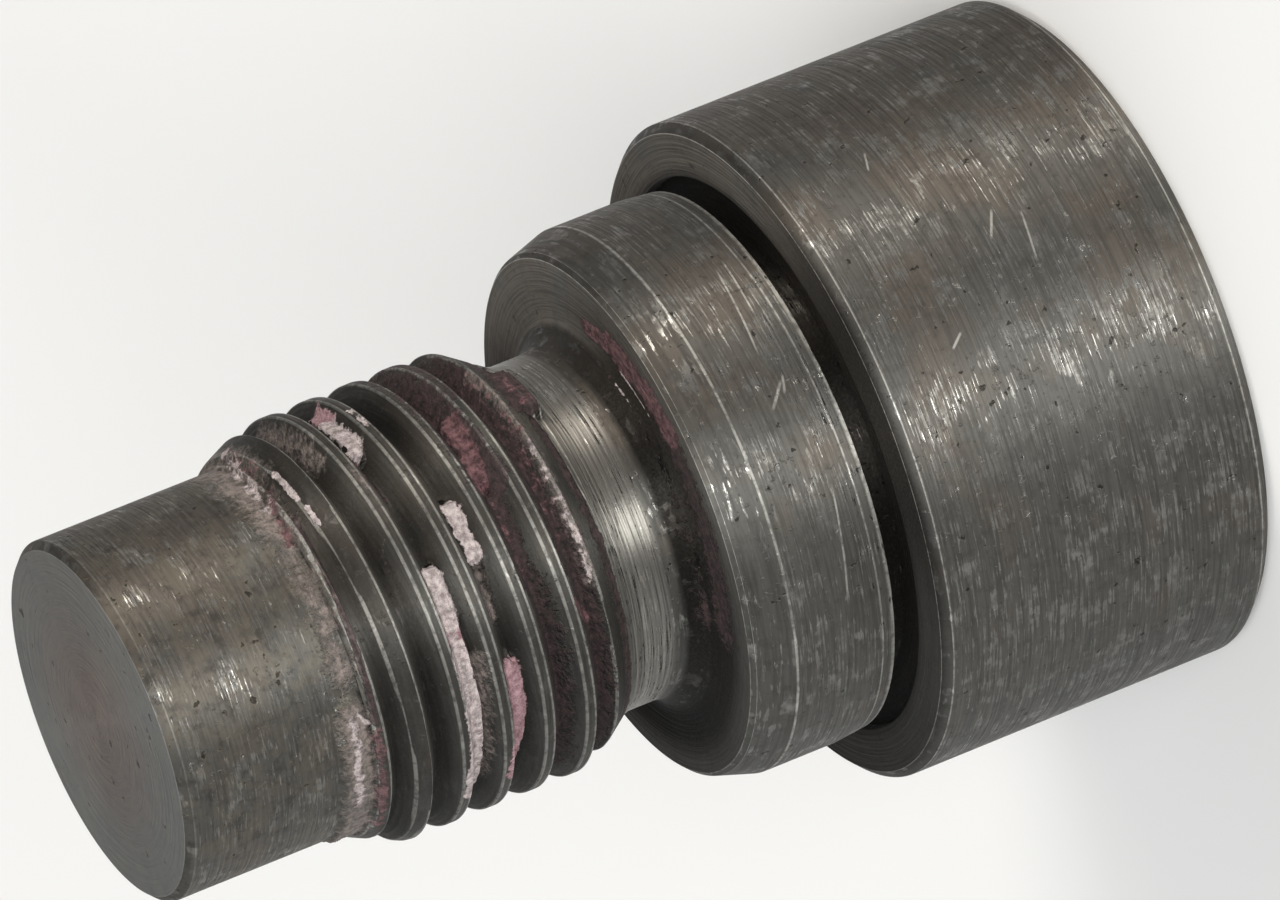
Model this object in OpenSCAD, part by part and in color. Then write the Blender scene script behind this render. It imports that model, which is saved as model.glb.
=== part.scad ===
// Threaded plug: one turned piece of steel. From the bottom up it has a round head with a hex key
// socket in its end, a narrow undercut, a seating collar, a relief neck, a right-hand thread and a
// plain pilot nose. It stands on its head: +Z runs along the axis to the nose and the origin is the
// centre of the head's end face. All lengths are in millimetres.

/* [Head] */
// Diameter of the head
head_d = 19.0; // [17:0.1:24]
// Length of the head along the axis
head_len = 10.2; // [9.6:0.1:16]
// Chamfer on the free end of the head
head_end_chamfer = 0.35; // [0.1:0.05:0.8]
// Chamfer on the edge of the head that faces the collar
head_seat_chamfer = 0.25; // [0.1:0.05:0.6]

/* [Key socket] */
// Width across the flats of the hex socket
key_flats = 10.0; // [7:0.5:12]
// Depth of the flats below the end of the head
key_depth = 6.0; // [4.5:0.1:6.5]
// Full angle of the drill point at the bottom of the socket
drill_angle = 118; // [112:2:140]
// How far the countersink at the mouth reaches beyond the corners of the hex
mouth_rim = 0.1; // [0:0.05:0.4]

/* [Undercut behind the head] */
// Width of the undercut between the head and the collar
undercut_w = 0.6; // [0.3:0.05:1.2]
// Diameter at the bottom of the undercut
undercut_d = 13.4; // [12:0.1:15]
// How far the undercut is also cut into the face of the head
relief_depth = 0.3; // [0.1:0.05:0.6]
// Gap around the collar that this relief leaves in the face of the head
relief_gap = 0.1; // [0.05:0.01:0.3]

/* [Collar] */
// Diameter of the collar
collar_d = 15.8; // [15.2:0.1:16.8]
// Length of the collar along the axis
collar_len = 4.25; // [3.4:0.05:7]
// Length of the tapered lead-in at the front of the collar
lead_in_len = 1.2; // [0.6:0.1:1.6]
// Radial fall of the lead-in
lead_in_fall = 0.34; // [0.1:0.02:0.5]
// Length of the slight taper at the rear of the collar
rear_taper_len = 0.95; // [0.4:0.05:1.4]
// Radial fall of the rear taper
rear_taper_fall = 0.1; // [0.04:0.02:0.3]
// Small chamfer that breaks the front edge of the collar
collar_edge = 0.13; // [0.05:0.01:0.3]

/* [Neck] */
// Diameter of the relief neck
neck_d = 10.0; // [9:0.1:10.2]
// Length of the relief neck along the axis
neck_len = 1.95; // [1.5:0.05:4]
// Radius of the fillet from the neck to the collar's front face
neck_fillet = 0.95; // [0.3:0.05:1.2]

/* [Thread] */
// Outside diameter of the thread
thread_d = 12.0; // [11.9:0.1:14]
// Pitch of the right-hand thread
pitch = 1.25; // [1.1:0.05:1.3]
// Length of the threaded stretch along the axis
thread_len = 9.05; // [6:0.05:16]
// Included angle of the thread's flanks
flank_angle = 60; // [55:1:60]
// Width of the flat on each crest
crest_flat = 0.28; // [0.15:0.01:0.3]
// Turns over which the thread grows to its full height behind the nose
lead_turns = 1.3; // [0.8:0.1:2]
// Turns over which the thread falls away towards the neck
runout_turns = 0.8; // [0.5:0.1:2]
// Share of its height that the thread keeps where it stops at the neck
runout_height = 0.45; // [0.2:0.05:1]
// Angle around the axis at which the thread starts at the nose
start_angle = -122; // [-180:1:180]
// Facets around each turn of the thread
thread_facets = 60; // [36:4:84]

/* [Nose] */
// Diameter of the plain pilot nose
nose_d = 10.35; // [8:0.05:10.4]
// Length of the pilot nose along the axis
nose_len = 4.85; // [2:0.05:10]
// Chamfer on the tip of the nose
nose_chamfer = 0.22; // [0.1:0.02:0.6]

/* [Hidden] */
$fn = 96;

// where each stretch starts along the axis
undercut_z = head_len;
collar_z = undercut_z + undercut_w;
neck_z = collar_z + collar_len;
thread_z = neck_z + neck_len;
nose_z = thread_z + thread_len;
tip_z = nose_z + nose_len;

// thread form: the flanks rise from the root to the crest, and the root flat is what is left
depth_share = 0.6134; // of the pitch, as on a metric screw
thread_depth = depth_share * pitch;
flank_run = tan(flank_angle / 2);
crest_r = thread_d / 2;
root_r = crest_r - thread_depth;
foot_half = crest_flat / 2 + thread_depth * flank_run;

// the helix: it keeps a hair off both ends of its stretch, and its crest never sinks to the root
end_gap = 0.03;
least_height = 0.02;
step_angle = 360 / thread_facets;
steps = floor((thread_len - 2 * foot_half - 2 * end_gap) / pitch * thread_facets);
first_z = thread_z + end_gap + foot_half;
last_z = first_z + steps * pitch / thread_facets;

// the shank enters the thread a hair under its root, and starts to widen a hair before it
join_gap = 0.03;
shank_r = root_r - join_gap;
shank_chamfer = shank_r - neck_d / 2;

// how far inner bodies run on past the face that they join or cut
overlap = 1.25;

// the hole is drilled a little smaller than the flats that are broached in it
drill_share = 0.98;

arc_step = 7.5;

// points of an arc about (cx, cz) between two angles
function arc(cx, cz, r, from, to) =
    [for (i = [0 : abs(to - from) / arc_step])
        let (a = from + sign(to - from) * i * arc_step) [cx + r * cos(a), cz + r * sin(a)]];

// half outlines, as [radius, height] pairs
collar_r = collar_d / 2;
relief_r = collar_r + relief_gap;
head_outline = [
    [0, 0],
    [head_d / 2 - head_end_chamfer, 0],
    [head_d / 2, head_end_chamfer],
    [head_d / 2, head_len - head_seat_chamfer],
    [head_d / 2 - head_seat_chamfer, head_len],
    [relief_r, head_len],
    [relief_r, head_len - relief_depth],
    [undercut_d / 2, head_len - relief_depth],
];

collar_outline = [
    [undercut_d / 2, collar_z],
    [collar_r - rear_taper_fall, collar_z],
    [collar_r, collar_z + rear_taper_len],
    [collar_r, neck_z - lead_in_len],
    [collar_r - lead_in_fall, neck_z - collar_edge],
    [collar_r - lead_in_fall - collar_edge, neck_z],
];

shank_outline = concat(
    arc(neck_d / 2 + neck_fillet, neck_z + neck_fillet, neck_fillet, 270, 180),
    [
        [neck_d / 2, thread_z - shank_chamfer - join_gap],
        [shank_r, thread_z - join_gap],
        [shank_r, thread_z + overlap],
        [0, thread_z + overlap],
    ]
);

// height of the thread over its root at the height z: full in the middle, cut down to nothing by
// the lead-in cone at the nose, and falling to runout_height at the neck
cone_end = last_z + crest_flat / 2;
function lead_share(z) = max(0, 1 - (cone_end - z) / (lead_turns * pitch));
function runout_share(z) = max(0, 1 - (z - first_z) / (runout_turns * pitch));
function thread_height(z) =
    max(least_height, thread_depth
        * (1 - lead_share(z))
        * (1 - (1 - runout_height) * runout_share(z)));

// one radial section of the thread: lower foot, lower crest, upper crest, upper foot
function section(i) =
    let (
        a = start_angle + (i - steps) * step_angle,
        z = first_z + i * pitch / thread_facets,
        low = thread_height(z - crest_flat / 2),
        high = thread_height(z + crest_flat / 2),
        low_half = crest_flat / 2 + (thread_depth - low) * flank_run,
        high_half = crest_flat / 2 + (thread_depth - high) * flank_run
    )
    [
        [root_r * cos(a), root_r * sin(a), z - foot_half],
        [(root_r + low) * cos(a), (root_r + low) * sin(a), z - low_half],
        [(root_r + high) * cos(a), (root_r + high) * sin(a), z + high_half],
        [root_r * cos(a), root_r * sin(a), z + foot_half],
    ];

// a circle of root points at the height z, which starts at the same angle as the helix
function ring(z) =
    [for (i = [0 : thread_facets - 1])
        let (a = start_angle + (i - steps) * step_angle) [root_r * cos(a), root_r * sin(a), z]];

function quad(a, b, c, d) = [[a, b, c], [a, c, d]];

// The thread as one closed solid: a rod of the root diameter with the helical ridge on it. Four
// points stand at each step of the helix, the root flat joins each turn to the next, and a wall
// of growing width closes the first and last turns against a flat end.
module thread() {
    n = thread_facets;
    low_ring = 4 * (steps + 1);
    high_ring = low_ring + n;
    low_centre = high_ring + n;
    high_centre = low_centre + 1;
    points = concat(
        [for (i = [0 : steps]) each section(i)],
        ring(thread_z),
        ring(nose_z),
        [[0, 0, thread_z], [0, 0, nose_z]]
    );
    ridge = [for (i = [0 : steps - 1]) for (k = [0 : 2])
        each quad(4 * i + k, 4 * i + k + 1, 4 * i + k + 5, 4 * i + k + 4)];
    root = [for (i = [0 : steps - n - 1])
        each quad(4 * i + 3, 4 * (i + n), 4 * (i + n + 1), 4 * i + 7)];
    low_wall = [for (i = [0 : n - 2])
        each quad(low_ring + i, 4 * i, 4 * i + 4, low_ring + i + 1)];
    low_seam = [for (pair = [[low_ring, 0], [0, 3], [3, 4 * n]]) [4 * (n - 1), pair[1], pair[0]]];
    high_wall = [for (i = [1 : n - 1])
        let (j = steps - n + i)
        each quad(4 * j + 3, high_ring + j % n, high_ring + (j + 1) % n, 4 * j + 7)];
    top = steps % n;
    high_seam = [for (pair = [[4 * (steps - n) + 3, 4 * steps], [4 * steps, 4 * steps + 3],
                              [4 * steps + 3, high_ring + top]])
        [4 * (steps - n) + 7, pair[0], pair[1]]];
    faces = concat(
        ridge, root, low_wall, low_seam, high_wall, high_seam,
        [
            [4 * (n - 1), low_ring, low_ring + n - 1],
            [4 * (steps - n) + 7, high_ring + top, high_ring + (top + 1) % n],
            [0, 3, 1], [1, 3, 2],
            [4 * steps, 4 * steps + 1, 4 * steps + 3],
            [4 * steps + 1, 4 * steps + 2, 4 * steps + 3],
        ],
        [for (i = [0 : n - 1]) [low_centre, low_ring + i, low_ring + (i + 1) % n]],
        [for (i = [0 : n - 1]) [high_centre, high_ring + (i + 1) % n, high_ring + i]]
    );
    polyhedron(points = points, faces = faces, convexity = 10);
}

// head, undercut, collar and neck in one turned outline
module turned_base() {
    rotate_extrude()
        polygon(concat(head_outline, collar_outline, shank_outline));
}

module nose() {
    rotate_extrude()
        polygon([
            [0, nose_z - overlap],
            [nose_d / 2, nose_z - overlap],
            [nose_d / 2, tip_z - nose_chamfer],
            [nose_d / 2 - nose_chamfer, tip_z],
            [0, tip_z],
        ]);
}

// broached hex, with a 45 degree countersink down to its flats and the point of the drill that
// cleared the hole before it was broached
module key_socket() {
    flat_r = key_flats / 2;
    corner_r = flat_r / cos(30);
    drill_r = drill_share * flat_r;
    mouth_r = corner_r + mouth_rim;
    translate([0, 0, -overlap])
        cylinder(h = key_depth + overlap, r = corner_r, $fn = 6);
    translate([0, 0, key_depth])
        cylinder(h = drill_r / tan(drill_angle / 2), r1 = drill_r, r2 = 0);
    translate([0, 0, -overlap])
        cylinder(h = mouth_r - flat_r + overlap, r1 = mouth_r + overlap, r2 = flat_r);
}

module plug_body() {
    color([0.30, 0.29, 0.275])
        difference() {
            union() {
                turned_base();
                thread();
                nose();
            }
            key_socket();
        }
}

plug_body();
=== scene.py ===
import math

import bmesh
import bpy
from mathutils import Matrix, Vector, kdtree, noise


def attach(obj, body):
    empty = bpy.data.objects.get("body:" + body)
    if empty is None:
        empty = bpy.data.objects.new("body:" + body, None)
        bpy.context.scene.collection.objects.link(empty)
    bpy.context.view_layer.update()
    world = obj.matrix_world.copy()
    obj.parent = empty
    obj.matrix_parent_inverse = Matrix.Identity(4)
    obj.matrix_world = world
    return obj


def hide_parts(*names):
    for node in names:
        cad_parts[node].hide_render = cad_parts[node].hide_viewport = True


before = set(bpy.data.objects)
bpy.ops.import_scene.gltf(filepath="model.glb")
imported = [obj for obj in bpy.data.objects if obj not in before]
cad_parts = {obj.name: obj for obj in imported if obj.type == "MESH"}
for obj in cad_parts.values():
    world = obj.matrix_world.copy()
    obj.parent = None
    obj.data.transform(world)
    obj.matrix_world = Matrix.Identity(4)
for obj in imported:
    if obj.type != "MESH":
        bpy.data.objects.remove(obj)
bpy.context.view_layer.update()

MM = 0.001

# sizes of the plug, in millimetres; the head's radius is a hair under the solid's, to stay in its box
HEAD_R, HEAD_LEN = 9.49, 10.2
HEAD_END_CHAMFER, HEAD_SEAT_CHAMFER = 0.35, 0.25
RELIEF_R, RELIEF_DEPTH = 8.0, 0.3
UNDERCUT_R, UNDERCUT_W = 6.7, 0.6
COLLAR_R, COLLAR_LEN, COLLAR_EDGE = 7.9, 4.25, 0.13
REAR_TAPER_LEN, REAR_TAPER_FALL = 0.95, 0.1
LEAD_IN_LEN, LEAD_IN_FALL = 1.2, 0.34
NECK_R, NECK_LEN, NECK_FILLET = 5.0, 1.95, 0.95
CREST_R, ROOT_R, PITCH, CREST_FLAT, THREAD_LEN = 6.0, 5.233, 1.25, 0.28, 9.05
NOSE_R, NOSE_LEN, NOSE_CHAMFER = 5.175, 4.85, 0.22
KEY_FLATS, KEY_DEPTH, MOUTH_RIM, DRILL_SHARE = 10.0, 6.0, 0.1, 0.98
FLANK_SLOPE, HEX_HALF_SIDE, DRILL_SLOPE = math.radians(30), math.radians(30), math.radians(59)

# heights at which the stretches start, from the head's end (z = 0) to the tip of the nose
COLLAR_Z = HEAD_LEN + UNDERCUT_W
NECK_Z = COLLAR_Z + COLLAR_LEN
THREAD_Z = NECK_Z + NECK_LEN
NOSE_Z = THREAD_Z + THREAD_LEN
TIP_Z = NOSE_Z + NOSE_LEN

# the blank that the thread is cut on: (height, radius) from the neck to the nose
THREAD_BLANK = [
    (16.9, NECK_R), (17.25, 5.1), (18.55, CREST_R),
    (23.93, CREST_R), (25.26, 5.4), (25.34, NOSE_R),
]
THREAD_OVERRUN = 0.25   # how far the thread's sheet runs on over the neck and the nose
THREAD_FOOT, THREAD_TOP = THREAD_Z - THREAD_OVERRUN, NOSE_Z + THREAD_OVERRUN
JOINT_GAP = 0.1         # width of the bands of faces that join the thread to the neck and the nose
CREST_Z = 22.1          # height of a crest where it crosses the +X side

# how fine the mesh is: the longest step along an outline, and the pieces of its rounded corners
TURNED_FINENESS, FACE_FINENESS, RIDGE_FINENESS = (0.36, 4), (0.16, 7), (0.12, 3)
COLUMNS = 192           # columns of faces around the axis
MERGE_DISTANCE = 0.0005 # points closer than this become one
SHARP_ANGLE = math.radians(40)


# ---------------------------------------------------------------- shapes

def arc_corner(before, corner, after, radius, pieces):
    """Points of the arc that rounds a corner of an outline."""
    at, a, b = (Vector(p) for p in (corner, before, after))
    u, v = (a - at).normalized(), (b - at).normalized()
    half = u.angle(v) / 2
    reach = radius / math.tan(half)
    centre = at + (u + v).normalized() * radius / math.sin(half)
    start, end = at + u * reach - centre, at + v * reach - centre
    turn = start.angle_signed(end)
    return [centre + Matrix.Rotation(-turn * i / pieces, 2) @ start for i in range(pieces + 1)]


def outline(corners, step, pieces):
    """An outline through (r, z, rounding) corners, its points no further than step apart."""
    points = []
    for i, (r, z, rounding) in enumerate(corners):
        if rounding and 0 < i < len(corners) - 1:
            points += arc_corner(corners[i - 1][:2], (r, z), corners[i + 1][:2], rounding, pieces)
        else:
            points.append(Vector((r, z)))
    filled = [points[0]]
    for a, b in zip(points, points[1:]):
        count = max(1, math.ceil((b - a).length / step))
        filled += [a.lerp(b, i / count) for i in range(1, count + 1)]
    return filled


def chain(bm, points):
    """A row of joined vertices along (radius, height) points, in the plane of +X and +Z."""
    verts = [bm.verts.new((r * MM, 0, z * MM)) for r, z in points]
    return verts + [bm.edges.new(pair) for pair in zip(verts, verts[1:])]


def turned(bm, points):
    """Turns an outline once round the axis."""
    bmesh.ops.spin(bm, geom=chain(bm, points), cent=(0, 0, 0), axis=(0, 0, 1),
                   angle=math.tau, steps=COLUMNS, use_merge=True)
    bmesh.ops.remove_doubles(bm, verts=bm.verts, dist=MERGE_DISTANCE * MM)


def new_piece(name, bm):
    """A smooth object made of a bmesh, with its faces pointing outwards."""
    bmesh.ops.recalc_face_normals(bm, faces=bm.faces)
    for face in bm.faces:
        face.smooth = True
    mesh = bpy.data.meshes.new(name)
    bm.to_mesh(mesh)
    bm.free()
    piece = bpy.data.objects.new(name, mesh)
    bpy.context.scene.collection.objects.link(piece)
    return piece


def head_to_collar():
    """Outline of the head, undercut and collar, from the middle of the head's end outwards."""
    return outline([
        (0, 0, 0),
        (HEAD_R - HEAD_END_CHAMFER, 0, 0.05),
        (HEAD_R, HEAD_END_CHAMFER, 0.08),
        (HEAD_R, HEAD_LEN - HEAD_SEAT_CHAMFER, 0.06),
        (HEAD_R - HEAD_SEAT_CHAMFER, HEAD_LEN, 0.05),
        (RELIEF_R, HEAD_LEN, 0.03),
        (RELIEF_R, HEAD_LEN - RELIEF_DEPTH, 0.06),
        (UNDERCUT_R, HEAD_LEN - RELIEF_DEPTH, 0.1),
        (UNDERCUT_R, COLLAR_Z, 0.1),
        (COLLAR_R - REAR_TAPER_FALL, COLLAR_Z, 0.05),
        (COLLAR_R, COLLAR_Z + REAR_TAPER_LEN, 0.6),
        (COLLAR_R, NECK_Z - LEAD_IN_LEN, 0.1),
        (COLLAR_R - LEAD_IN_FALL, NECK_Z - COLLAR_EDGE, 0.06),
        (COLLAR_R - LEAD_IN_FALL - COLLAR_EDGE, NECK_Z, 0.05),
        (COLLAR_R - LEAD_IN_FALL - 2 * COLLAR_EDGE, NECK_Z, 0),
    ], *TURNED_FINENESS)


def face_to_neck():
    """Outline of the collar's front face, the fillet and the neck."""
    return outline([
        (COLLAR_R - LEAD_IN_FALL - 2 * COLLAR_EDGE, NECK_Z, 0),
        (NECK_R, NECK_Z, NECK_FILLET),
        (NECK_R, THREAD_FOOT - JOINT_GAP, 0),
    ], *FACE_FINENESS)


def nose():
    """Outline of the nose, from the thread to the middle of its tip."""
    return outline([
        (NOSE_R, THREAD_TOP + JOINT_GAP, 0),
        (NOSE_R, TIP_Z - NOSE_CHAMFER, 0.07),
        (NOSE_R - NOSE_CHAMFER, TIP_Z, 0.05),
        (0, TIP_Z, 0),
    ], *TURNED_FINENESS)


def ridge():
    """Outline of one turn of the thread: root, flank, crest, flank, root."""
    crest = CREST_FLAT / 2
    foot = crest + (CREST_R - ROOT_R) * math.tan(FLANK_SLOPE)
    return outline([
        (ROOT_R, -PITCH / 2, 0),
        (ROOT_R, -foot, 0.06),
        (CREST_R, -crest, 0.04),
        (CREST_R, crest, 0.04),
        (ROOT_R, foot, 0.06),
        (ROOT_R, PITCH / 2, 0),
    ], *RIDGE_FINENESS)


def blank_radius(z):
    """Radius of the blank at a height."""
    for (z0, r0), (z1, r1) in zip(THREAD_BLANK, THREAD_BLANK[1:]):
        if z < z1:
            return r0 + (r1 - r0) * max(0, z - z0) / (z1 - z0)
    return THREAD_BLANK[-1][1]


def cut_flat(bm, height, upper):
    """Cuts the thread off level at a height."""
    bmesh.ops.bisect_plane(bm, geom=bm.verts[:] + bm.edges[:] + bm.faces[:], dist=MERGE_DISTANCE / 5 * MM,
                           plane_co=(0, 0, height * MM), plane_no=(0, 0, 1),
                           clear_outer=upper, clear_inner=not upper)


def one_turn(bm, start):
    """One turn of the thread's helical sheet, and everything it is made of."""
    bmesh.ops.spin(bm, geom=chain(bm, start), cent=(0, 0, 0), axis=(0, 0, 1), angle=math.tau,
                   steps=COLUMNS, dvec=(0, 0, PITCH * MM / COLUMNS))
    return bm.verts[:] + bm.edges[:] + bm.faces[:]


def thread():
    """The thread as a helical sheet, trimmed to the blank it is cut on."""
    bm = bmesh.new()
    turns = math.ceil((THREAD_TOP - THREAD_FOOT) / PITCH) + 2
    first = CREST_Z - PITCH * math.ceil((CREST_Z - THREAD_FOOT) / PITCH + 1)
    sheet = one_turn(bm, [(r, first + z) for r, z in ridge()])
    for i in range(1, turns):
        copy = bmesh.ops.duplicate(bm, geom=sheet)["geom"]
        moved = [v for v in copy if isinstance(v, bmesh.types.BMVert)]
        bmesh.ops.translate(bm, vec=(0, 0, i * PITCH * MM), verts=moved)
    bmesh.ops.remove_doubles(bm, verts=bm.verts, dist=MERGE_DISTANCE * MM)
    for v in bm.verts:
        radius = v.co.xy.length / MM
        v.co.xy *= min(radius, blank_radius(v.co.z / MM)) / radius
    cut_flat(bm, THREAD_FOOT, False)
    cut_flat(bm, THREAD_TOP, True)
    return bm


def add(bm, other):
    """Adds another shape's faces to bm."""
    mesh = bpy.data.meshes.new("added")
    other.to_mesh(mesh)
    other.free()
    bm.from_mesh(mesh)
    bpy.data.meshes.remove(mesh)


def close_gap(bm, height):
    """Joins the two open rims on either side of a height."""
    reach = 2 * JOINT_GAP * MM
    rims = [e for e in bm.edges if e.is_boundary and abs(e.verts[0].co.z - height * MM) < reach]
    bmesh.ops.bridge_loops(bm, edges=rims)


def key_socket(piece):
    """Cuts the hexagon socket: flats, the drill point under them and the countersink at the mouth."""
    flat_r = KEY_FLATS / 2
    corner_r, drill_r = flat_r / math.cos(HEX_HALF_SIDE), flat_r * DRILL_SHARE
    mouth_r, point = corner_r + MOUTH_RIM, drill_r / math.tan(DRILL_SLOPE)
    below, round_sides = 1.0, COLUMNS // 2
    cut_away(piece, cutter("flats", 6, corner_r, corner_r, -below, KEY_DEPTH))
    cut_away(piece, cutter("drill_point", round_sides, drill_r, 0, KEY_DEPTH, KEY_DEPTH + point))
    cut_away(piece, cutter("mouth", round_sides, mouth_r + below, flat_r, -below, mouth_r - flat_r))
    piece.data.set_sharp_from_angle(angle=SHARP_ANGLE)


def cutter(name, sides, low_r, high_r, low, high):
    """A prism or cone between two heights, to cut with."""
    bm = bmesh.new()
    place = Matrix.Translation((0, 0, (low + high) / 2 * MM)) @ Matrix.Rotation(math.pi / 2, 4, "Z")
    bmesh.ops.create_cone(bm, cap_ends=True, segments=sides, radius1=low_r * MM, radius2=high_r * MM,
                          depth=(high - low) * MM, matrix=place)
    return new_piece(name, bm)


def cut_away(piece, tool):
    """Cuts a tool's shape out of a piece."""
    cut = piece.modifiers.new("cut", "BOOLEAN")
    cut.operation, cut.object, cut.solver = "DIFFERENCE", tool, "EXACT"
    graph = bpy.context.evaluated_depsgraph_get()
    mesh = bpy.data.meshes.new_from_object(piece.evaluated_get(graph))
    piece.modifiers.clear()
    piece.data = mesh
    bpy.data.objects.remove(tool)


# dried sealant, as (colour, strength, half width, lift, path): a path is (angle, height) points, a lift
# is the radius up to which it fills the thread, and a strength below 1 leaves it in crumbs
SEALANT = [
    ("pink", 0.9, 0.22, 5.6, [(-14, 22.47), (-24, 22.45)]),
    ("pale", 1.0, 0.24, 5.66, [(-24, 22.58), (-39, 22.47), (-42, 22.6)]),
    ("rose", 0.5, 0.16, 0, [(-42, 22.75), (-60, 22.6)]),
    ("pale", 0.6, 0.13, 0, [(-28, 21.96), (-37, 21.93)]),
    ("dust", 0.5, 0.3, 0, [(-2, 23.79), (-17, 23.74), (-40, 23.6)]),
    ("pale", 0.75, 0.09, 0, [(-37, 24.81), (-50, 24.77)]),
    ("pale", 0.7, 0.1, 0, [(-54, 24.69), (-61, 24.67)]),
    ("dust", 0.5, 0.15, 0, [(-49, 23.19), (-66, 22.83)]),
    ("pale", 1.0, 0.3, 5.68, [(-86, 22.53), (-100, 22.51)]),
    ("pink", 0.85, 0.28, 5.66, [(-100, 22.51), (-109, 22.53)]),
    ("pale", 1.0, 0.3, 5.7, [(-108, 22.53), (-127, 22.5), (-140, 22.54), (-155, 22.6)]),
    ("pink", 0.5, 0.25, 5.66, [(-122, 22.5), (-136, 22.5)]),
    ("dust", 0.55, 0.3, 0, [(-112, 22.1), (-160, 22.2)]),
    ("pale", 1.0, 0.23, 5.6, [(-70, 21.2), (-86, 21.16)]),
    ("dust", 0.62, 0.2, 0, [(-88, 21.16), (-104, 21.25)]),
    ("pink", 0.9, 0.29, 5.6, [(-119, 21.18), (-131, 21.1), (-142, 21.2), (-153, 21.38)]),
    ("rose", 1.0, 0.24, 5.6, [(-45, 19.9), (-56, 19.94), (-68, 20.08)]),
    ("wine", 1.0, 0.3, 5.4, [(-70, 20.0), (-96, 20.06)]),
    ("rose", 0.34, 0.2, 0, [(-70, 20.0), (-96, 20.06)]),
    ("wine", 0.85, 0.6, 0, [(30, 20.4), (-40, 20.1), (-70, 19.95)]),
    ("wine", 0.6, 0.4, 0, [(-96, 19.9), (-130, 19.8), (-180, 19.6)]),
    ("wine", 0.85, 0.65, 0, [(30, 19.3), (-40, 18.9)]),
    ("wine", 0.65, 0.42, 0, [(-40, 18.85), (-100, 18.65), (-180, 18.4)]),
    ("wine", 0.85, 0.4, 0, [(30, 18.1), (-30, 17.9)]),
    ("wine", 0.7, 0.16, 0, [(-54, 17.8), (-100, 17.66), (-180, 17.6)]),
    ("wine", 1.1, 0.36, 5.75, [(-36, 17.9), (-50, 17.8)]),
    ("rose", 0.36, 0.3, 0, [(-30, 17.9), (-48, 17.8)]),
    ("rose", 0.32, 0.3, 0, [(-30, 18.6), (-60, 18.5), (-90, 18.7)]),
    ("dust", 0.5, 0.2, 0, [(-30, 18.5), (-58, 18.38), (-78, 18.36), (-104, 18.3)]),
    ("pale", 0.42, 0.14, 0, [(-62, 18.36), (-104, 18.33)]),
    ("rose", 0.85, 0.15, 0, [(-107, 18.96), (-115, 18.62)]),
    ("dust", 0.62, 0.9, 0, [(40, 25.6), (-20, 25.5), (-34, 25.6)]),
    ("dust", 0.58, 0.65, 0, [(-34, 25.6), (-60, 25.6)]),
    ("dust", 0.5, 0.5, 0, [(-60, 25.6), (-104, 25.65)]),
    ("rose", 0.4, 0.3, 0, [(-6, 25.0), (-40, 25.2), (-60, 25.5)]),
    ("pale", 0.42, 0.3, 0, [(-6, 25.0), (-26, 25.3), (-46, 25.5)]),
    ("dust", 0.8, 0.5, 5.3, [(-117, 25.75), (-140, 25.75), (-190, 25.7)]),
    ("pale", 0.85, 0.08, 0, [(-116, 25.6), (-120, 25.35)]),
    ("pale", 0.42, 0.25, 0, [(-116, 25.8), (-150, 25.8)]),
    ("rose", 0.5, 0.2, 0, [(-122, 25.2), (-165, 25.1)]),
    ("wine", 1.0, 0.09, 0, [(-53, 25.05), (-90, 25.15), (-120, 25.2)]),
    ("rose", 0.95, 0.28, 0, [(-34, 14.92), (-46, 14.8)]),
    ("rose", 0.95, 0.46, 0, [(-46, 14.78), (-64, 14.52), (-76, 14.42)]),
    ("wine", 0.65, 0.6, 0, [(-76, 14.6), (-100, 14.7), (-130, 14.9)]),
    ("pale", 0.55, 0.07, 0, [(-52, 15.2), (-74, 15.1)]),
]
COLOURS = sorted({stroke[0] for stroke in SEALANT})
STROKE_STEP = 0.06      # distance between the places that stand for a stroke
STROKE_CORE = 1.5       # cover at the middle of a stroke of full strength; it falls by 1 at its edge
SEALED_RADII = (4, 7.4) # radii between which sealant can lie
# the lifted surface: its unevenness, how fine that is, and the cover over which it rises
LIFT_UNEVEN, LIFT_GRAIN, LIFT_COVER = 0.05, 4, (0.3, 0.6)

# how the surface is laid out flat: by its angle at UNROLLED_R, and by its height down to FACE_TOP,
# below which the collar's front face goes on, outwards from FACE_R
UNROLLED_R, FACE_TOP, FACE_R = 5.6, 15.2, 5.8

# wear and painted shade: the bends over which an edge gets worn and a corner is painted darker as shade
WORN_BENDS, SHADED_BENDS = (0.012, 0.045), (0.03, 0.15)
LEVEL_SLACK = 0.01      # slack around a height or radius at which a face starts
# the thread: where its dirt and painted shade start, dirt with painted shade in the root, dirt on the
# crest, and where that changes
THREAD_DIRT_SHADE_FROM, ROOT_DIRT_AND_SHADE, CREST_DIRT = 17.6, 0.9, 0.5
ROOT_SHADE_FLANK, THREAD_DIRT_SHADE_FADE = (5.5, 5.95), (24.6, 25.4)
# the collar's front face, painted in shade: the shade outside and in the fillet, how much lighter the +X
# side is painted, how far up and out the shade reaches, and the radii over which it gets less, outwards
# and at the neck
FACE_SHADE, FILLET_SHADE, LIGHTER_SIDE, LIGHTER_SIDE_FROM = 0.6, 1.1, 0.75, 0.55
FILLET_TOP, FACE_SHADE_R, FACE_SHADE_FALL, NECK_SHADE_FADE = 0.7, 7.5, (7.3, 6.2), (5.01, 5.1)
# the undercut and the head's face, painted in shade: the shade, how far below the face and how far out it
# reaches, how much lighter the face is painted to both sides and at +X, and the width over which it gets
# lighter or worn
UNDERCUT_SHADE, UNDERCUT_BELOW, HEAD_FACE_R = 1.1, 0.4, 9.3
BOTH_SIDES_LIGHTER, BOTH_SIDES = 0.34, (0.2, 0.8)
PLUS_X_LIGHTER, PLUS_X = 0.5, (0.45, 0.85)
LIGHTER_OVER, WORN_OVER = 0.2, 0.5


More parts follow.
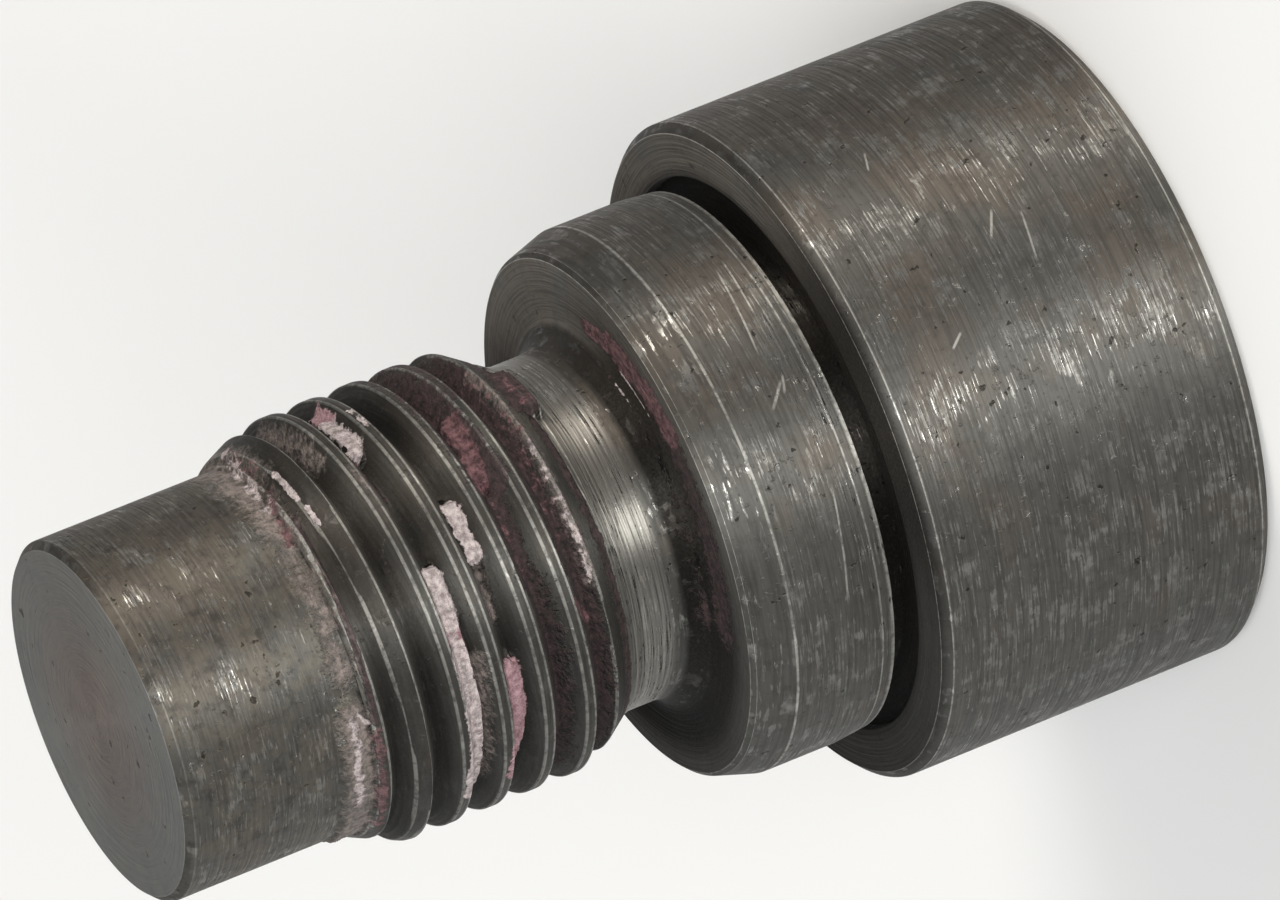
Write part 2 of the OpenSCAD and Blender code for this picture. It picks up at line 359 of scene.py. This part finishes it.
def smooth(low, high, value):
    """0 at low, 1 at high and smooth between."""
    t = min(1, max(0, (value - low) / (high - low)))
    return t * t * (3 - 2 * t)


def unrolled(angle, height):
    """A place on the surface laid out flat, in millimetres."""
    return Vector((math.radians(angle) * UNROLLED_R, height, 0))


def unrolled_place(place):
    """The same for a point in space: the collar's face goes on below the neck."""
    radius, height = place.xy.length, place.z
    if height < FACE_TOP:
        height = FACE_TOP - (radius - FACE_R)
    return unrolled(math.degrees(math.atan2(place.y, place.x)), height)


def strokes_of(colour):
    """A search tree of the places along one colour's strokes, and the stroke that each belongs to."""
    places = []
    for stroke in SEALANT:
        if stroke[0] == colour:
            path = [unrolled(*p) for p in stroke[4]]
            for a, b in zip(path, path[1:]):
                count = math.ceil((b - a).length / STROKE_STEP)
                places += [(a.lerp(b, i / count), stroke) for i in range(count + 1)]
    tree = kdtree.KDTree(len(places))
    for i, (place, _) in enumerate(places):
        tree.insert(place, i)
    tree.balance()
    return tree, [stroke for _, stroke in places]


def bend_at(v):
    """How sharply the surface bends at a vertex: above 0 on an edge and below 0 in a corner."""
    slopes = [v.normal.dot((v.co - e.other_vert(v).co).normalized()) for e in v.link_edges]
    return sum(slopes) / len(slopes)


def thread_dirt_and_shade(radius, height):
    """Dirt over the thread, with painted shade deeper in the root, which fades towards the nose."""
    dirt = ROOT_DIRT_AND_SHADE - (ROOT_DIRT_AND_SHADE - CREST_DIRT) * smooth(*ROOT_SHADE_FLANK, radius)
    return dirt * (1 - smooth(*THREAD_DIRT_SHADE_FADE, height))


def collar_face_shade(radius, side):
    """Painted shade on the collar's front face, deepest in the fillet and lighter on the +X side."""
    dirt = FACE_SHADE + (FILLET_SHADE - FACE_SHADE) * smooth(*FACE_SHADE_FALL, radius)
    lighter = LIGHTER_SIDE * smooth(LIGHTER_SIDE_FROM, 1, side)
    return dirt * (1 - lighter) * smooth(*NECK_SHADE_FADE, radius)


def head_face_shade(radius, side):
    """Painted shade on the head's face, deepest by the undercut and on the -Y side, lighter to both sides
    and most at +X.
    """
    lighter = BOTH_SIDES_LIGHTER * smooth(*BOTH_SIDES, abs(side))
    lighter += PLUS_X_LIGHTER * smooth(*PLUS_X, side)
    outwards = smooth(RELIEF_R, RELIEF_R + LIGHTER_OVER, radius)
    return UNDERCUT_SHADE - lighter * (0.5 + 0.5 * outwards)


def wear_dirt_and_shade(bm):
    """Stores how worn each edge is, and the painted shade in corners, the undercut and on the faces, with
    dirt on the thread.
    """
    worn, dirt_and_shade = (bm.verts.layers.float.new(n) for n in ("worn", "dirt_and_shade"))
    for v in bm.verts:
        bend, radius, height = bend_at(v), v.co.xy.length / MM, v.co.z / MM
        side = v.co.x / max(v.co.xy.length, MERGE_DISTANCE * MM)
        # an inward bend is painted darker, as shade in the corner
        v[worn], v[dirt_and_shade] = smooth(*WORN_BENDS, bend), smooth(*SHADED_BENDS, -bend)
        if THREAD_DIRT_SHADE_FROM < height < THREAD_TOP:
            # dirt on the thread, with painted shade in its root
            v[dirt_and_shade] = max(v[dirt_and_shade], thread_dirt_and_shade(radius, height))
        elif NECK_Z - LEVEL_SLACK < height < NECK_Z + FILLET_TOP and radius < FACE_SHADE_R:
            # painted shade on the collar's front face
            v[dirt_and_shade] = collar_face_shade(radius, side)
        elif HEAD_LEN - UNDERCUT_BELOW < height < COLLAR_Z + LEVEL_SLACK and radius < HEAD_FACE_R:
            # painted shade in the undercut
            v[dirt_and_shade] = UNDERCUT_SHADE
            if radius > RELIEF_R - LEVEL_SLACK:
                # painted shade on the head's face, lighter to the sides and at +X
                v[dirt_and_shade] = head_face_shade(radius, side)
                v[worn] *= smooth(RELIEF_R, RELIEF_R + WORN_OVER, radius)


def lay_sealant(bm):
    """Stores the cover of each colour of sealant, and lifts the surface where it fills the thread."""
    for colour in COLOURS:
        layer = bm.verts.layers.float.new(colour)
        tree, strokes = strokes_of(colour)
        for v in bm.verts:
            place, radius = v.co / MM, v.co.xy.length / MM
            if place.z > NECK_Z - LEVEL_SLACK and SEALED_RADII[0] < radius < SEALED_RADII[1]:
                _, index, away = tree.find(unrolled_place(place))
                _, strength, half_width, lift, _ = strokes[index]
                v[layer] = max(0, STROKE_CORE - away / half_width) * strength
                if radius < lift:
                    lift += LIFT_UNEVEN * noise.noise(place * LIFT_GRAIN)
                    v.co.xy *= 1 + (lift / radius - 1) * smooth(*LIFT_COVER, v[layer])


def plug_body():
    """The whole plug: turned base, thread and nose in one closed mesh, with the socket cut in it."""
    bm = bmesh.new()
    turned(bm, head_to_collar() + face_to_neck()[1:])
    add(bm, thread())
    tip = bmesh.new()
    turned(tip, nose())
    add(bm, tip)
    close_gap(bm, THREAD_FOOT)
    close_gap(bm, THREAD_TOP)
    bmesh.ops.recalc_face_normals(bm, faces=bm.faces)
    bm.normal_update()
    wear_dirt_and_shade(bm)
    lay_sealant(bm)
    piece = new_piece("plug_body_turned", bm)
    key_socket(piece)
    return piece


# ---------------------------------------------------------------- finishes

class Shade:
    """A value in a material: sums on it become Math nodes."""

    def __init__(self, finish, socket):
        self.finish, self.socket = finish, socket

    def sum(self, operation, *values):
        return self.finish.value("ShaderNodeMath", {"operation": operation}, *values)

    def __add__(self, other):
        return self.sum("ADD", self, other)

    def __radd__(self, other):
        return self.sum("ADD", other, self)

    def __sub__(self, other):
        return self.sum("SUBTRACT", self, other)

    def __rsub__(self, other):
        return self.sum("SUBTRACT", other, self)

    def __mul__(self, other):
        return self.sum("MULTIPLY", self, other)

    def __rmul__(self, other):
        return self.sum("MULTIPLY", other, self)

    def __truediv__(self, other):
        return self.sum("DIVIDE", self, other)

    def __pow__(self, other):
        return self.sum("POWER", self, other)

    def absolute(self):
        return self.sum("ABSOLUTE", self)

    def most(self, other):
        return self.sum("MAXIMUM", self, other)

    def least(self, other):
        return self.sum("MINIMUM", self, other)

    def rise(self, low, high):
        """0 below low, 1 above high and smooth between."""
        smoothly = {"interpolation_type": "SMOOTHSTEP"}
        return self.finish.value("ShaderNodeMapRange", smoothly, self, low, high)


class Finish:
    """A material under construction."""

    def __init__(self, name):
        self.material = bpy.data.materials.new(name)
        self.material.use_nodes = True
        self.tree = self.material.node_tree
        self.tree.nodes.clear()

    def node(self, kind, settings, *inputs, **named):
        """Adds a node: its settings first, then what goes into its sockets."""
        made = self.tree.nodes.new(kind)
        for name, setting in settings.items():
            setattr(made, name, setting)
        for key, given in [*enumerate(inputs), *named.items()]:
            socket = made.inputs[key.replace("_", " ") if isinstance(key, str) else key]
            if isinstance(given, Shade):
                self.tree.links.new(given.socket, socket)
            elif given is not None:
                socket.default_value = given
        return made

    def value(self, kind, settings, *inputs, **named):
        """Adds a node and gives its first output."""
        return Shade(self, self.node(kind, settings, *inputs, **named).outputs[0])

    def place(self):
        """The place on the plug, as x, y and z in millimetres."""
        coordinates = self.node("ShaderNodeTexCoord", {}).outputs["Object"]
        parts = self.node("ShaderNodeSeparateXYZ", {}, Shade(self, coordinates))
        return [Shade(self, out) * (1 / MM) for out in parts.outputs]

    def facing_up(self):
        """1 where the surface faces up the axis, -1 where it faces down."""
        normal = self.node("ShaderNodeTexCoord", {}).outputs["Normal"]
        return Shade(self, self.node("ShaderNodeSeparateXYZ", {}, Shade(self, normal)).outputs[2])

    def vector(self, x, y, z):
        return self.value("ShaderNodeCombineXYZ", {}, x, y, z)

    def noise(self, where, scale, detail=2.0, roughness=0.5):
        return self.value("ShaderNodeTexNoise", {}, Vector=where, Scale=scale,
                          Detail=detail, Roughness=roughness)

    def stored(self, name):
        """A value kept on the piece's vertices."""
        node = self.node("ShaderNodeAttribute", {"attribute_name": name})
        return Shade(self, node.outputs["Fac"])

    def mix(self, share, first, second):
        """A colour between two colours."""
        node = self.node("ShaderNodeMix", {"data_type": "RGBA"})
        for socket, given in ((node.inputs[0], share), (node.inputs[6], first), (node.inputs[7], second)):
            if isinstance(given, Shade):
                self.tree.links.new(given.socket, socket)
            else:
                socket.default_value = given if socket == node.inputs[0] else (*given, 1)
        return Shade(self, node.outputs[2])

    def finish(self, **sockets):
        """Ends in a surface with these sockets."""
        surface = self.node("ShaderNodeBsdfPrincipled", {}, **sockets)
        self.node("ShaderNodeOutputMaterial", {}, Shade(self, surface.outputs[0]))
        return self.material


# each colour of sealant: how much it covers, how soft its edge is, its dark tone and its light tone
SEALANT_COLOURS = [
    ("wine", 0.9, 0.14, (0.010, 0.007, 0.007), (0.045, 0.026, 0.027)),
    ("dust", 0.75, 0.24, (0.05, 0.042, 0.038), (0.23, 0.185, 0.17)),
    ("rose", 0.85, 0.1, (0.03, 0.014, 0.016), (0.16, 0.08, 0.086)),
    ("pink", 0.95, 0.06, (0.15, 0.08, 0.09), (0.36, 0.23, 0.25)),
    ("pale", 0.95, 0.06, (0.17, 0.14, 0.138), (0.45, 0.39, 0.385)),
]
# scratches, as (angle, height, turn from the axis, half length, half width)
SCRATCHES = [
    (-79.5, 12.3, 130, 0.5, 0.06), (-78, 12.0, 108, 0.3, 0.05), (-60, 12.1, 96, 1.6, 0.04),
    (-55, 11.7, 94, 1.1, 0.04), (-112, 12.0, 96, 1.8, 0.04), (-68, 5.2, 118, 0.5, 0.05),
    (-72, 4.4, 100, 0.8, 0.04), (-48, 7.2, 110, 0.4, 0.04), (-84, 7.6, 140, 0.3, 0.05),
]
# fine lines turned round the collar, as (height, half width, strength)
TURNED_LINES = [(NECK_Z - LEAD_IN_LEN, 0.05, 1), (COLLAR_Z + 0.4, 0.04, 0.8)]

# colours of the steel, from its dark skin to what is rubbed bright
GREY_STEEL, BROWN_STEEL = (0.138, 0.134, 0.124), (0.154, 0.136, 0.118)
TOOL_MARK, SMUDGE = (0.05, 0.049, 0.046), (0.06, 0.056, 0.05)
# the second colour here is painted shade in corners, the undercut and on the collar's and head's faces,
# and dirt on the thread
PIT, SHADE_AND_DIRT = (0.02, 0.018, 0.015), (0.022, 0.020, 0.018)
# the last colour here is the neck's polished steel, painted lighter as well, as a painted highlight
FLECK, CLOUD, POLISH_AND_HIGHLIGHT = (0.165, 0.161, 0.151), (0.175, 0.155, 0.125), (0.23, 0.22, 0.2)
TIP_MIDDLE, TIP_RIM = (0.12, 0.10, 0.095), (0.115, 0.12, 0.12)
BARE_EDGE, RUBBED_DIRT = (0.5, 0.49, 0.46), (0.4, 0.39, 0.36)

# heights over which the finish changes from one stretch of the plug to the next
POLISH_START, POLISH_END = (15.9, 16.15), (17.4, 17.6)
THREAD_START, THREAD_END = (17, 17.5), (25, 25.6)
NOSE_START, TIP_START, LESS_WORN_TIP = (24, 27), (29, 30), (29, 30.4)

# where the finish takes a surface for a flat end face, and how far its turning marks move on for
# each millimetre outwards there; closer to the axis than AXIS_R they stop turning
FACED, FACE_RUN, AXIS_R = (0.85, 0.97), 1.3, 0.02

# relief in millimetres, and roughness
RIDGE_RISE, CRUMB_RISE, GRAIN_RISE, PIT_DEPTH = 0.05, 0.012, 0.002, 0.02
CRUST_RISE, CRUST_GRAIN = 0.05, 0.12
STEEL_ROUGH, FLECK_SHINE, POLISH_SHINE, FACE_DULL = 0.7, 0.44, 0.25, 0.2
GRAIN_ROUGH, LEAST_ROUGH, CRUST_ROUGH = 0.1, 0.22, 0.9
STEEL_METAL, FACE_LESS_METAL = 0.95, 0.85

# fine turning marks draw a highlight out along the axis
STEEL_SPECULAR, DRAWN_OUT, DRAWN_ALONG = 0.25, 0.9, 0.25


class SteelFinish(Finish):
    """A finish that knows where on the turned plug it is, in millimetres."""

    def __init__(self, name):
        super().__init__(name)
        x, y, self.z = self.place()
        self.here = self.vector(x, y, self.z)
        self.radius = ((x * x + y * y) ** 0.5).most(AXIS_R)
        self.side_x, self.side_y = x / self.radius, y / self.radius
        self.run = self.z + self.radius * FACE_RUN
        self.faced = self.facing_up().rise(*FACED)
        self.dirt_and_shade = self.stored("dirt_and_shade")
        self.on_nose = self.z.rise(*NOSE_START)
        # the neck's stretch: polished, and painted lighter as a highlight
        self.polished_and_highlit = self.stretch(POLISH_START, POLISH_END)
        self.threaded = self.stretch(THREAD_START, THREAD_END)

    def stretch(self, start, end):
        """1 along a stretch of the plug, fading in and out over two pairs of heights."""
        return self.z.rise(*start) * (1 - self.z.rise(*end))

    def specks(self, scale, detail, roughness):
        """Noise that is the same in every direction."""
        return self.noise(self.here, scale, detail, roughness)

    def turned_noise(self, around, along, detail=2.0, roughness=0.5):
        """Noise drawn out around the axis, as turning marks are."""
        where = self.vector(self.side_x * around, self.side_y * around, self.run * along)
        return self.noise(where, 1.0, detail, roughness)

    def turned_line(self, height, half_width, strength):
        """A fine line turned round the plug at a height."""
        away = (self.z - height).absolute() / half_width
        return (1 - away.rise(0.3, 1)) * strength

    def scratch(self, angle, height, turn, length, width):
        """A straight mark, turned from the plug's axis by an angle."""
        a, t = math.radians(angle), math.radians(turn)
        across = (self.side_y * math.cos(a) - self.side_x * math.sin(a)) * self.radius
        up = self.z - height
        near_side = self.side_x * math.cos(a) + self.side_y * math.sin(a)
        off = (across * math.cos(t) - up * math.sin(t)).absolute() / width
        far = (across * math.sin(t) + up * math.cos(t)).absolute() / length
        return (1 - off.rise(0.3, 1)) * (1 - far.rise(0.6, 1)) * near_side.rise(0, 0.1)


def rubbed_flecks(f):
    """Short bright dashes where the dark skin is rubbed through: few in the thread and on flat faces."""
    dashes = f.turned_noise(8, 16, 3, 0.6)
    patches = (f.specks(1.0, 4, 0.65) - 0.5) * 0.9
    sparkle = f.specks(3.5, 2, 0.6).rise(0.3, 0.7)
    flecks = (dashes + patches - f.on_nose * 0.03).rise(0.53, 0.63) * (0.25 + sparkle)
    fewer_aside = 1 - f.side_x.absolute().rise(0.5, 0.95) * 0.45
    return flecks * (1 - f.faced * 0.7) * fewer_aside * (1 - f.threaded * 0.6)


def small_pits(f):
    """Small dark pits in the clean turned faces."""
    pits = f.specks(2.6, 3, 0.55).rise(0.67, 0.72)
    return pits * (1 - f.dirt_and_shade).most(0) * (1 - f.polished_and_highlit) * (1 - f.threaded)


def worn_bright(f):
    """Worn edges, turned lines and scratches, broken up along their length."""
    worn = f.stored("worn").rise(0.6, 0.95)
    for line in TURNED_LINES:
        worn = worn.most(f.turned_line(*line))
    for place in SCRATCHES:
        worn = worn.most(f.scratch(*place))
    broken = f.specks(4, 3, 0.65).rise(0.3, 0.6) * 0.75 + 0.25
    return worn * broken * (1 - f.z.rise(*LESS_WORN_TIP) * 0.75)


def steel_colour(f, grain, flecks, pits):
    """Colour of the steel: each coat is a share and the colour that it lays over the last."""
    brown = f.specks(0.4, 3, 0.6) + f.side_x * 0.12 + f.on_nose * 0.06
    streaks = f.turned_noise(3, 12, 3, 0.6).rise(0.3, 0.62)
    smudges = f.specks(2.4, 4, 0.7).rise(0.48, 0.66)
    clouds = f.specks(1.3, 5, 0.7).rise(0.42, 0.62) * f.on_nose
    tip = f.faced * f.z.rise(*TIP_START)
    worn = worn_bright(f)
    colour = f.mix(brown.rise(0.44, 0.66), GREY_STEEL, BROWN_STEEL)
    colour = f.mix(streaks * 0.45 + 0.55, TOOL_MARK, colour)
    coats = [
        (smudges * (f.on_nose * 0.3 + 0.3), SMUDGE),
        (flecks, FLECK),
        (clouds * 0.5, CLOUD),
        # the neck: polished, and painted lighter as a highlight
        (f.polished_and_highlit * 0.7, POLISH_AND_HIGHLIGHT),
        (tip * 0.7, f.mix(f.radius.rise(1, 4.4), TIP_MIDDLE, TIP_RIM)),
        (pits * 0.75, PIT),
        (worn * 0.75, BARE_EDGE),
        # painted shade, and dirt on the thread
        ((f.dirt_and_shade * (0.6 + grain * 0.5)).least(1), SHADE_AND_DIRT),
        (worn * 0.4, RUBBED_DIRT),
    ]
    for share, coat in coats:
        colour = f.mix(share, colour, coat)
    return colour


def sealed_over(f, colour, spots):
    """Lays the dried sealant over a colour, and gives how much of the surface is crust."""
    blots = f.specks(2.2, 3, 0.6)
    ragged = (spots - 0.5) * 0.8 + (blots - 0.5) * 1.1
    tone = f.specks(5, 4, 0.7).rise(0.3, 0.7)
    crust = 0
    for name, cover, soft, dark, light in SEALANT_COLOURS:
        near = f.stored(name)
        laid = (near + ragged).rise(0.5 - soft, 0.5 + soft) * near.rise(0.02, 0.25) * cover
        colour = f.mix(laid, colour, f.mix(tone, dark, light))
        crust = laid.most(crust)
    return colour, crust


def fine_relief(f, grain, pits, crust, spots):
    """Height of the turning ridges, crumbs, pits and crust, in millimetres."""
    ridges = f.turned_noise(2, 9, 1)
    crumbs = f.specks(4.5, 3, 0.6).rise(0.62, 0.7) * (1 - f.polished_and_highlit)
    steel = ridges * RIDGE_RISE + crumbs * CRUMB_RISE + grain * GRAIN_RISE - pits * PIT_DEPTH
    return steel + crust * (spots * CRUST_GRAIN + CRUST_RISE)


def dark_steel():
    """Turned steel with a dark oiled skin, rubbed bright here and there, with sealant dried on it."""
    f = SteelFinish("dark_steel")
    grain, spots = f.specks(14, 3, 0.6), f.specks(6, 3, 0.6)
    flecks, pits = rubbed_flecks(f), small_pits(f)
    colour, crust = sealed_over(f, steel_colour(f, grain, flecks, pits), spots)
    relief = fine_relief(f, grain, pits, crust, spots)
    bump = f.value("ShaderNodeBump", {}, Strength=1.0, Distance=1.0 * MM, Height=relief)
    rough = STEEL_ROUGH - flecks * FLECK_SHINE + (grain - 0.5) * GRAIN_ROUGH
    rough = (rough - f.polished_and_highlit * POLISH_SHINE + f.faced * FACE_DULL).most(LEAST_ROUGH)
    rough = rough * (1 - crust) + crust * CRUST_ROUGH
    metal = (1 - crust) * STEEL_METAL * (1 - f.faced * FACE_LESS_METAL * (1 - f.dirt_and_shade))
    return f.finish(Base_Color=colour, Metallic=metal, Roughness=rough, Normal=bump,
                    Specular_IOR_Level=STEEL_SPECULAR, Anisotropic=DRAWN_OUT,
                    Anisotropic_Rotation=DRAWN_ALONG)


body = plug_body()
body.data.materials.clear()
body.data.materials.append(dark_steel())
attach(body, "root")
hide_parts("plug_body")

# ---------------------------------------------------------------- stage

# the camera stands on the -Y side and looks down by an angle, rolled so that the plug lies in view
ELEVATION, ROLL = math.radians(19.7354), math.radians(111.7735)
LENS, SENSOR, NEAREST, FARTHEST = 511.4, 36.0, 0.01, 20
# how far right, down and away from the camera the middle of the head's end is seen, in millimetres
SEEN_AT = (12.506, -3.465, 496.5)


def camera():
    """The camera, far off with a long lens."""
    data = bpy.data.cameras.new("camera")
    cam = bpy.data.objects.new("camera", data)
    data.sensor_width, data.lens = SENSOR, LENS
    data.clip_start, data.clip_end = NEAREST, FARTHEST
    away = Vector((0, math.cos(ELEVATION), -math.sin(ELEVATION)))
    right = Matrix.Rotation(ROLL, 3, away) @ Vector((1, 0, 0))
    down = away.cross(right)
    turn = Matrix((right, -down, -away)).transposed()
    place = -(SEEN_AT[0] * right + SEEN_AT[1] * down + SEEN_AT[2] * away) * MM
    cam.matrix_world = Matrix.Translation(place) @ turn.to_4x4()
    bpy.context.scene.collection.objects.link(cam)
    bpy.context.scene.camera = cam


PAPER_WHITE, FLOOR_R, SKY_STRENGTH = (0.9, 0.9, 0.9, 1), 4, 0.33
WHITE, WARM, COOL = (1, 1, 0.97), (1, 0.94, 0.86), (0.95, 0.98, 1)
# lamps, as (name, azimuth, elevation, spread, strength, colour), low ones and high ones
LAMPS = [
    ("front_light", -7, 12, 22, 2.6, WHITE),
    ("front_high_light", -7, 38, 30, 1.0, WHITE),
    ("side_light", 61, 12, 24, 1.55, WARM),
    ("side_high_light", 61, 38, 30, 0.6, WARM),
    ("left_light", -95, 16, 90, 1.3, COOL),
]


def paper():
    """White paper that shows only from above."""
    f = Finish("paper")
    white = f.value("ShaderNodeBsdfDiffuse", {}, Color=PAPER_WHITE)
    clear = f.value("ShaderNodeBsdfTransparent", {})
    below = Shade(f, f.node("ShaderNodeNewGeometry", {}).outputs["Backfacing"])
    sheet = f.value("ShaderNodeMixShader", {}, below, white, clear)
    f.node("ShaderNodeOutputMaterial", {}, sheet)
    return f.material


def floor():
    """A wide round sheet of paper under the plug."""
    bm = bmesh.new()
    bmesh.ops.create_circle(bm, cap_ends=True, segments=64, radius=FLOOR_R)
    sheet = new_piece("floor", bm)
    if sheet.data.polygons[0].normal.z < 0:
        sheet.data.flip_normals()
    sheet.data.materials.append(paper())


def lamp(name, azimuth, elevation, spread, strength, colour):
    """A broad far light: azimuth 0 stands on the -Y side and 90 on the +X side."""
    data = bpy.data.lights.new(name, "SUN")
    data.energy, data.angle, data.color = strength, math.radians(spread), colour
    a, e = math.radians(azimuth), math.radians(elevation)
    towards = Vector((math.sin(a) * math.cos(e), -math.cos(a) * math.cos(e), math.sin(e)))
    lit = bpy.data.objects.new(name, data)
    lit.rotation_euler = towards.to_track_quat("Z", "Y").to_euler()
    bpy.context.scene.collection.objects.link(lit)


def sky():
    """Even light from all round."""
    world = bpy.data.worlds.new("sky")
    world.use_nodes = True
    background = world.node_tree.nodes["Background"]
    background.inputs["Color"].default_value = (1, 1, 1, 1)
    background.inputs["Strength"].default_value = SKY_STRENGTH
    bpy.context.scene.world = world


camera()
floor()
sky()
for place in LAMPS:
    lamp(*place)
bpy.context.scene.view_settings.view_transform = "Standard"
